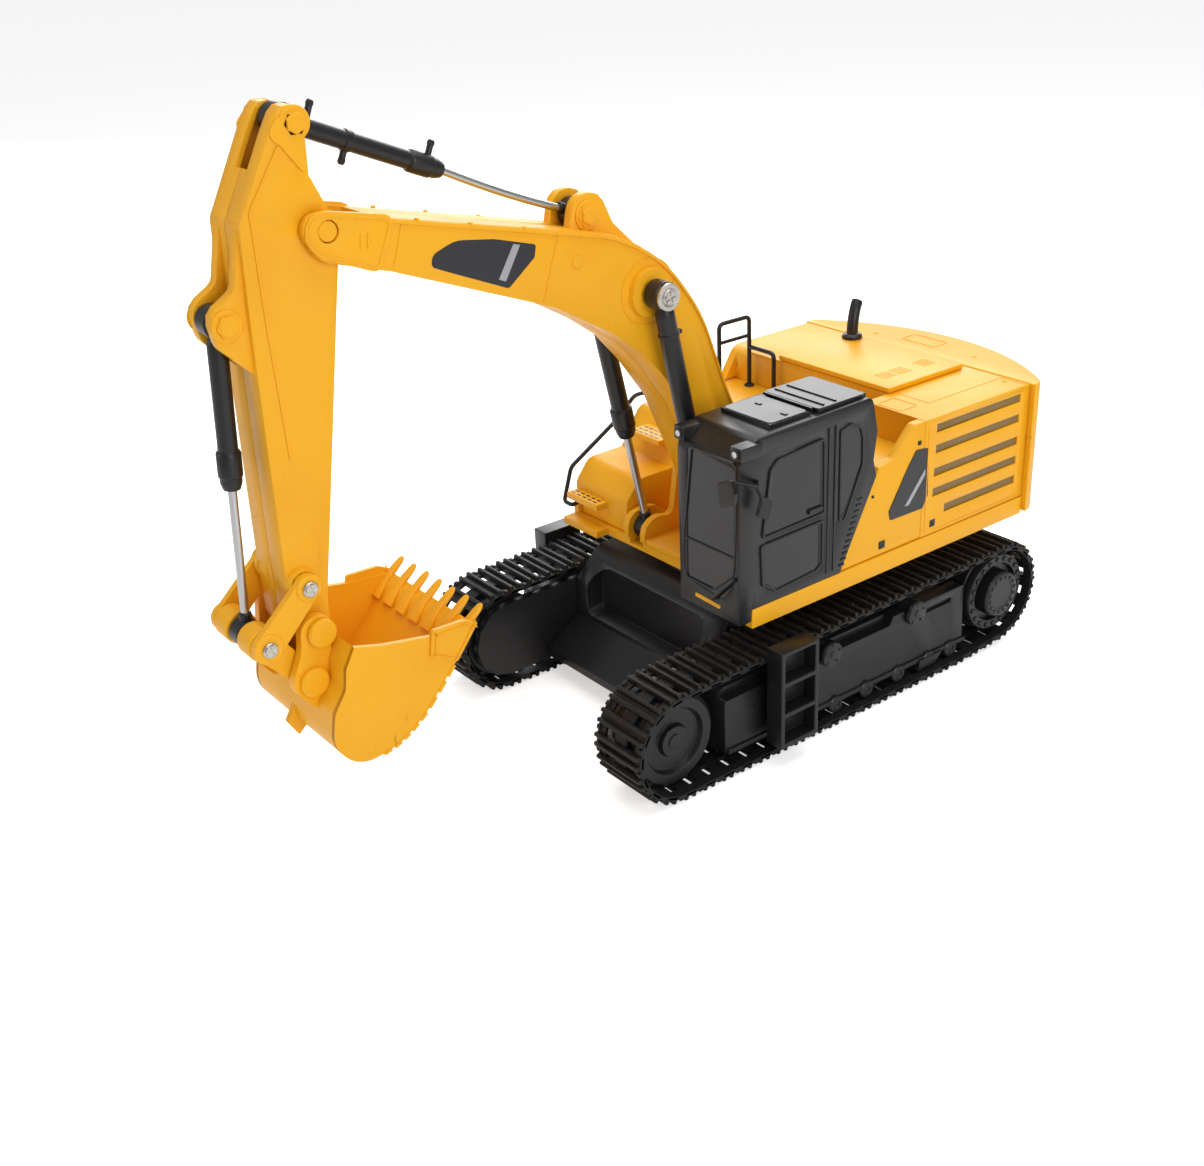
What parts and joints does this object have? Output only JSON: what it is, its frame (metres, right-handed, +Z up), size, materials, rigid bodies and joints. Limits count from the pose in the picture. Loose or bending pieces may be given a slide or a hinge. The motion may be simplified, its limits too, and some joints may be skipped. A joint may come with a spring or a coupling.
{
  "type": "toy excavator",
  "caption": "Tracked toy excavator with a slewing house, cab, two-piece arm on rams and a toothed bucket.",
  "frame": {"origin": "centre of the bounding box's footprint, on the ground", "axes": "+X is the machine's left (cab) side, -Y is its front, +Z is up"},
  "size_m": [0.1506, 0.3432, 0.2459],
  "materials": {
    "battery_sleeve": "blue shrink sleeve",
    "black_plastic": "satin moulded black plastic",
    "chromed_rod": "bright plated rod",
    "circuit_board": "green board lacquer",
    "grille_mesh": "brown moulded mesh",
    "lamp_lens": "clear lens plastic",
    "motor_steel": "motor can, plated",
    "steel_fastener": "plated steel fastener",
    "track_rubber": "soft matt black rubber",
    "white_nylon": "off-white nylon",
    "yellow_plastic": "satin moulded yellow plastic"
  },
  "bodies": {
    "undercarriage": {"belly_cover": "black_plastic", "chassis_frame": "black_plastic", "slew_motor": "motor_steel", "step_frame_left": "black_plastic", "step_frame_right": "black_plastic", "track_belt_left": "track_rubber", "track_belt_right": "track_rubber", "track_frame_left": "black_plastic", "track_frame_right": "black_plastic", "track_gearbox_left": "white_nylon", "track_gearbox_right": "white_nylon"},
    "power_slider": {"power_switch": "track_rubber"},
    "sprocket_left": {"drive_sprocket_left": "black_plastic", "final_drive_cap_left": "black_plastic"},
    "sprocket_right": {"drive_sprocket_right": "black_plastic", "final_drive_cap_right": "black_plastic"},
    "idler_left": {"idler_wheel_left": "black_plastic"},
    "idler_right": {"idler_wheel_right": "black_plastic"},
    "slew_drive": {"slew_pinion": "white_nylon"},
    "house": {"battery_pack": "battery_sleeve", "boom_bracket": "yellow_plastic", "boom_foot_pin": "steel_fastener", "cab_lamp_left": "lamp_lens", "cab_lamp_right": "lamp_lens", "cab_mirrors": "black_plastic", "cab_shell": "black_plastic", "control_board": "circuit_board", "counterweight": "yellow_plastic", "engine_housing": "yellow_plastic", "exhaust_pipe": "black_plastic", "hood_lid": "yellow_plastic", "house_deck": "yellow_plastic", "side_grille_left": "grille_mesh", "side_grille_right": "grille_mesh", "slew_ring_gear": "white_nylon", "step_handrail": "black_plastic", "tank_housing": "yellow_plastic", "walkway_handrail": "black_plastic"},
    "boom": {"boom_ram_pin": "steel_fastener", "boom_shell_left": "yellow_plastic", "boom_shell_right": "yellow_plastic", "stick_pivot_pin": "yellow_plastic"},
    "boom_barrel_left": {"boom_ram_left_barrel": "black_plastic"},
    "boom_barrel_right": {"boom_ram_right_barrel": "black_plastic"},
    "boom_rod_left": {"boom_ram_left_rod": "chromed_rod"},
    "boom_rod_right": {"boom_ram_right_rod": "chromed_rod"},
    "stick": {"crank_pin": "steel_fastener", "stick_shell_left": "yellow_plastic", "stick_shell_right": "yellow_plastic"},
    "arm_barrel": {"arm_ram_barrel": "black_plastic"},
    "arm_rod": {"arm_ram_rod": "chromed_rod"},
    "bucket_barrel": {"bucket_ram_barrel": "black_plastic"},
    "bucket_rod": {"bucket_ram_rod": "chromed_rod"},
    "crank": {"crank_link_left": "yellow_plastic", "crank_link_right": "yellow_plastic", "link_screw_left": "steel_fastener", "link_screw_right": "steel_fastener"},
    "tie_link": {"tie_link": "yellow_plastic"},
    "bucket": {"bucket": "yellow_plastic", "bucket_pin": "yellow_plastic"}
  },
  "joints": [
    {"name": "house_slew", "type": "hinge", "parent": "undercarriage", "child": "house", "pos_m": [0, 0.043, 0.0542], "axis": [0, 0, 1], "continuous": true},
    {"name": "slew_pinion_spin", "type": "hinge", "parent": "undercarriage", "child": "slew_drive", "pos_m": [0, 0.0214, 0.034], "axis": [0, 0, 1], "continuous": true},
    {"name": "sprocket_left_spin", "type": "hinge", "parent": "undercarriage", "child": "sprocket_left", "pos_m": [0.0545, 0.1294, 0.0242], "axis": [1, 0, 0], "continuous": true},
    {"name": "idler_left_spin", "type": "hinge", "parent": "undercarriage", "child": "idler_left", "pos_m": [0.0545, -0.041, 0.0223], "axis": [1, 0, 0], "continuous": true},
    {"name": "sprocket_right_spin", "type": "hinge", "parent": "undercarriage", "child": "sprocket_right", "pos_m": [-0.0545, 0.1294, 0.0242], "axis": [1, 0, 0], "continuous": true},
    {"name": "idler_right_spin", "type": "hinge", "parent": "undercarriage", "child": "idler_right", "pos_m": [-0.0545, -0.041, 0.0223], "axis": [1, 0, 0], "continuous": true},
    {"name": "power_slide", "type": "slide", "parent": "undercarriage", "child": "power_slider", "axis": [1, 0, 0], "range_m": [-0.0028, 0.0028]},
    {"name": "boom_lift", "type": "hinge", "parent": "house", "child": "boom", "pos_m": [0, 0.035, 0.084], "axis": [-1, 0, 0], "range_deg": [-18, 16]},
    {"name": "boom_barrel_left_pivot", "type": "hinge", "parent": "boom", "child": "boom_barrel_left", "pos_m": [0.02, -0.0082, 0.1683], "axis": [-1, 0, 0], "range_deg": [-2.98, 3.29]},
    {"name": "boom_rod_left_slide", "type": "slide", "parent": "boom_barrel_left", "child": "boom_rod_left", "axis": [0, 0.21, -0.9777], "range_m": [-0.00828, 0.00742]},
    {"name": "boom_barrel_right_pivot", "type": "hinge", "parent": "boom", "child": "boom_barrel_right", "pos_m": [-0.02, -0.0082, 0.1683], "axis": [-1, 0, 0], "range_deg": [-2.98, 3.29]},
    {"name": "boom_rod_right_slide", "type": "slide", "parent": "boom_barrel_right", "child": "boom_rod_right", "axis": [0, 0.21, -0.9777], "range_m": [-0.00828, 0.00742]},
    {"name": "stick_swing", "type": "hinge", "parent": "boom", "child": "stick", "pos_m": [0, -0.127, 0.21], "axis": [-1, 0, 0], "range_deg": [-15, 22]},
    {"name": "arm_barrel_pivot", "type": "hinge", "parent": "stick", "child": "arm_barrel", "pos_m": [0, -0.1315, 0.2408], "axis": [-1, 0, 0], "range_deg": [-19.71, 13.6]},
    {"name": "arm_rod_slide", "type": "slide", "parent": "arm_barrel", "child": "arm_rod", "axis": [0, 0.9209, -0.3898], "range_m": [-0.01108, 0.00771]},
    {"name": "bucket_curl", "type": "hinge", "parent": "stick", "child": "bucket", "pos_m": [0, -0.1484, 0.0873], "axis": [-1, 0, 0], "range_deg": [-4, 40]},
    {"name": "crank_pivot", "type": "hinge", "parent": "stick", "child": "crank", "pos_m": [0, -0.1498, 0.1029], "axis": [-1, 0, 0], "range_deg": [-3.17, 27.2]},
    {"name": "tie_link_pivot", "type": "hinge", "parent": "crank", "child": "tie_link", "pos_m": [0, -0.166, 0.0872], "axis": [-1, 0, 0], "range_deg": [-13.99, 1.85]},
    {"name": "bucket_barrel_pivot", "type": "hinge", "parent": "stick", "child": "bucket_barrel", "pos_m": [0, -0.16, 0.1876], "axis": [-1, 0, 0], "range_deg": [-0.88, 4.34]},
    {"name": "bucket_rod_slide", "type": "slide", "parent": "bucket_barrel", "child": "bucket_rod", "axis": [0, -0.0597, -0.9982], "range_m": [-0.00865, 0.00131]}
  ],
  "couplings": [
    {"joint": "slew_pinion_spin", "follows": "house_slew", "ratio": -3},
    {"joint": "idler_left_spin", "follows": "sprocket_left_spin", "ratio": 1},
    {"joint": "idler_right_spin", "follows": "sprocket_right_spin", "ratio": 1},
    {"joint": "boom_barrel_left_pivot", "follows": "boom_lift", "ratio": -0.155},
    {"joint": "boom_rod_left_slide", "follows": "boom_lift", "m_per_rad": 0.02477},
    {"joint": "boom_barrel_right_pivot", "follows": "boom_lift", "ratio": -0.155},
    {"joint": "boom_rod_right_slide", "follows": "boom_lift", "m_per_rad": 0.02477},
    {"joint": "arm_barrel_pivot", "follows": "stick_swing", "ratio": -0.8731},
    {"joint": "arm_rod_slide", "follows": "stick_swing", "m_per_rad": -0.02756},
    {"joint": "crank_pivot", "follows": "bucket_curl", "ratio": 0.6675},
    {"joint": "tie_link_pivot", "follows": "bucket_curl", "ratio": -0.3372},
    {"joint": "bucket_barrel_pivot", "follows": "bucket_curl", "ratio": 0.096},
    {"joint": "bucket_rod_slide", "follows": "bucket_curl", "m_per_rad": -0.01167}
  ]
}
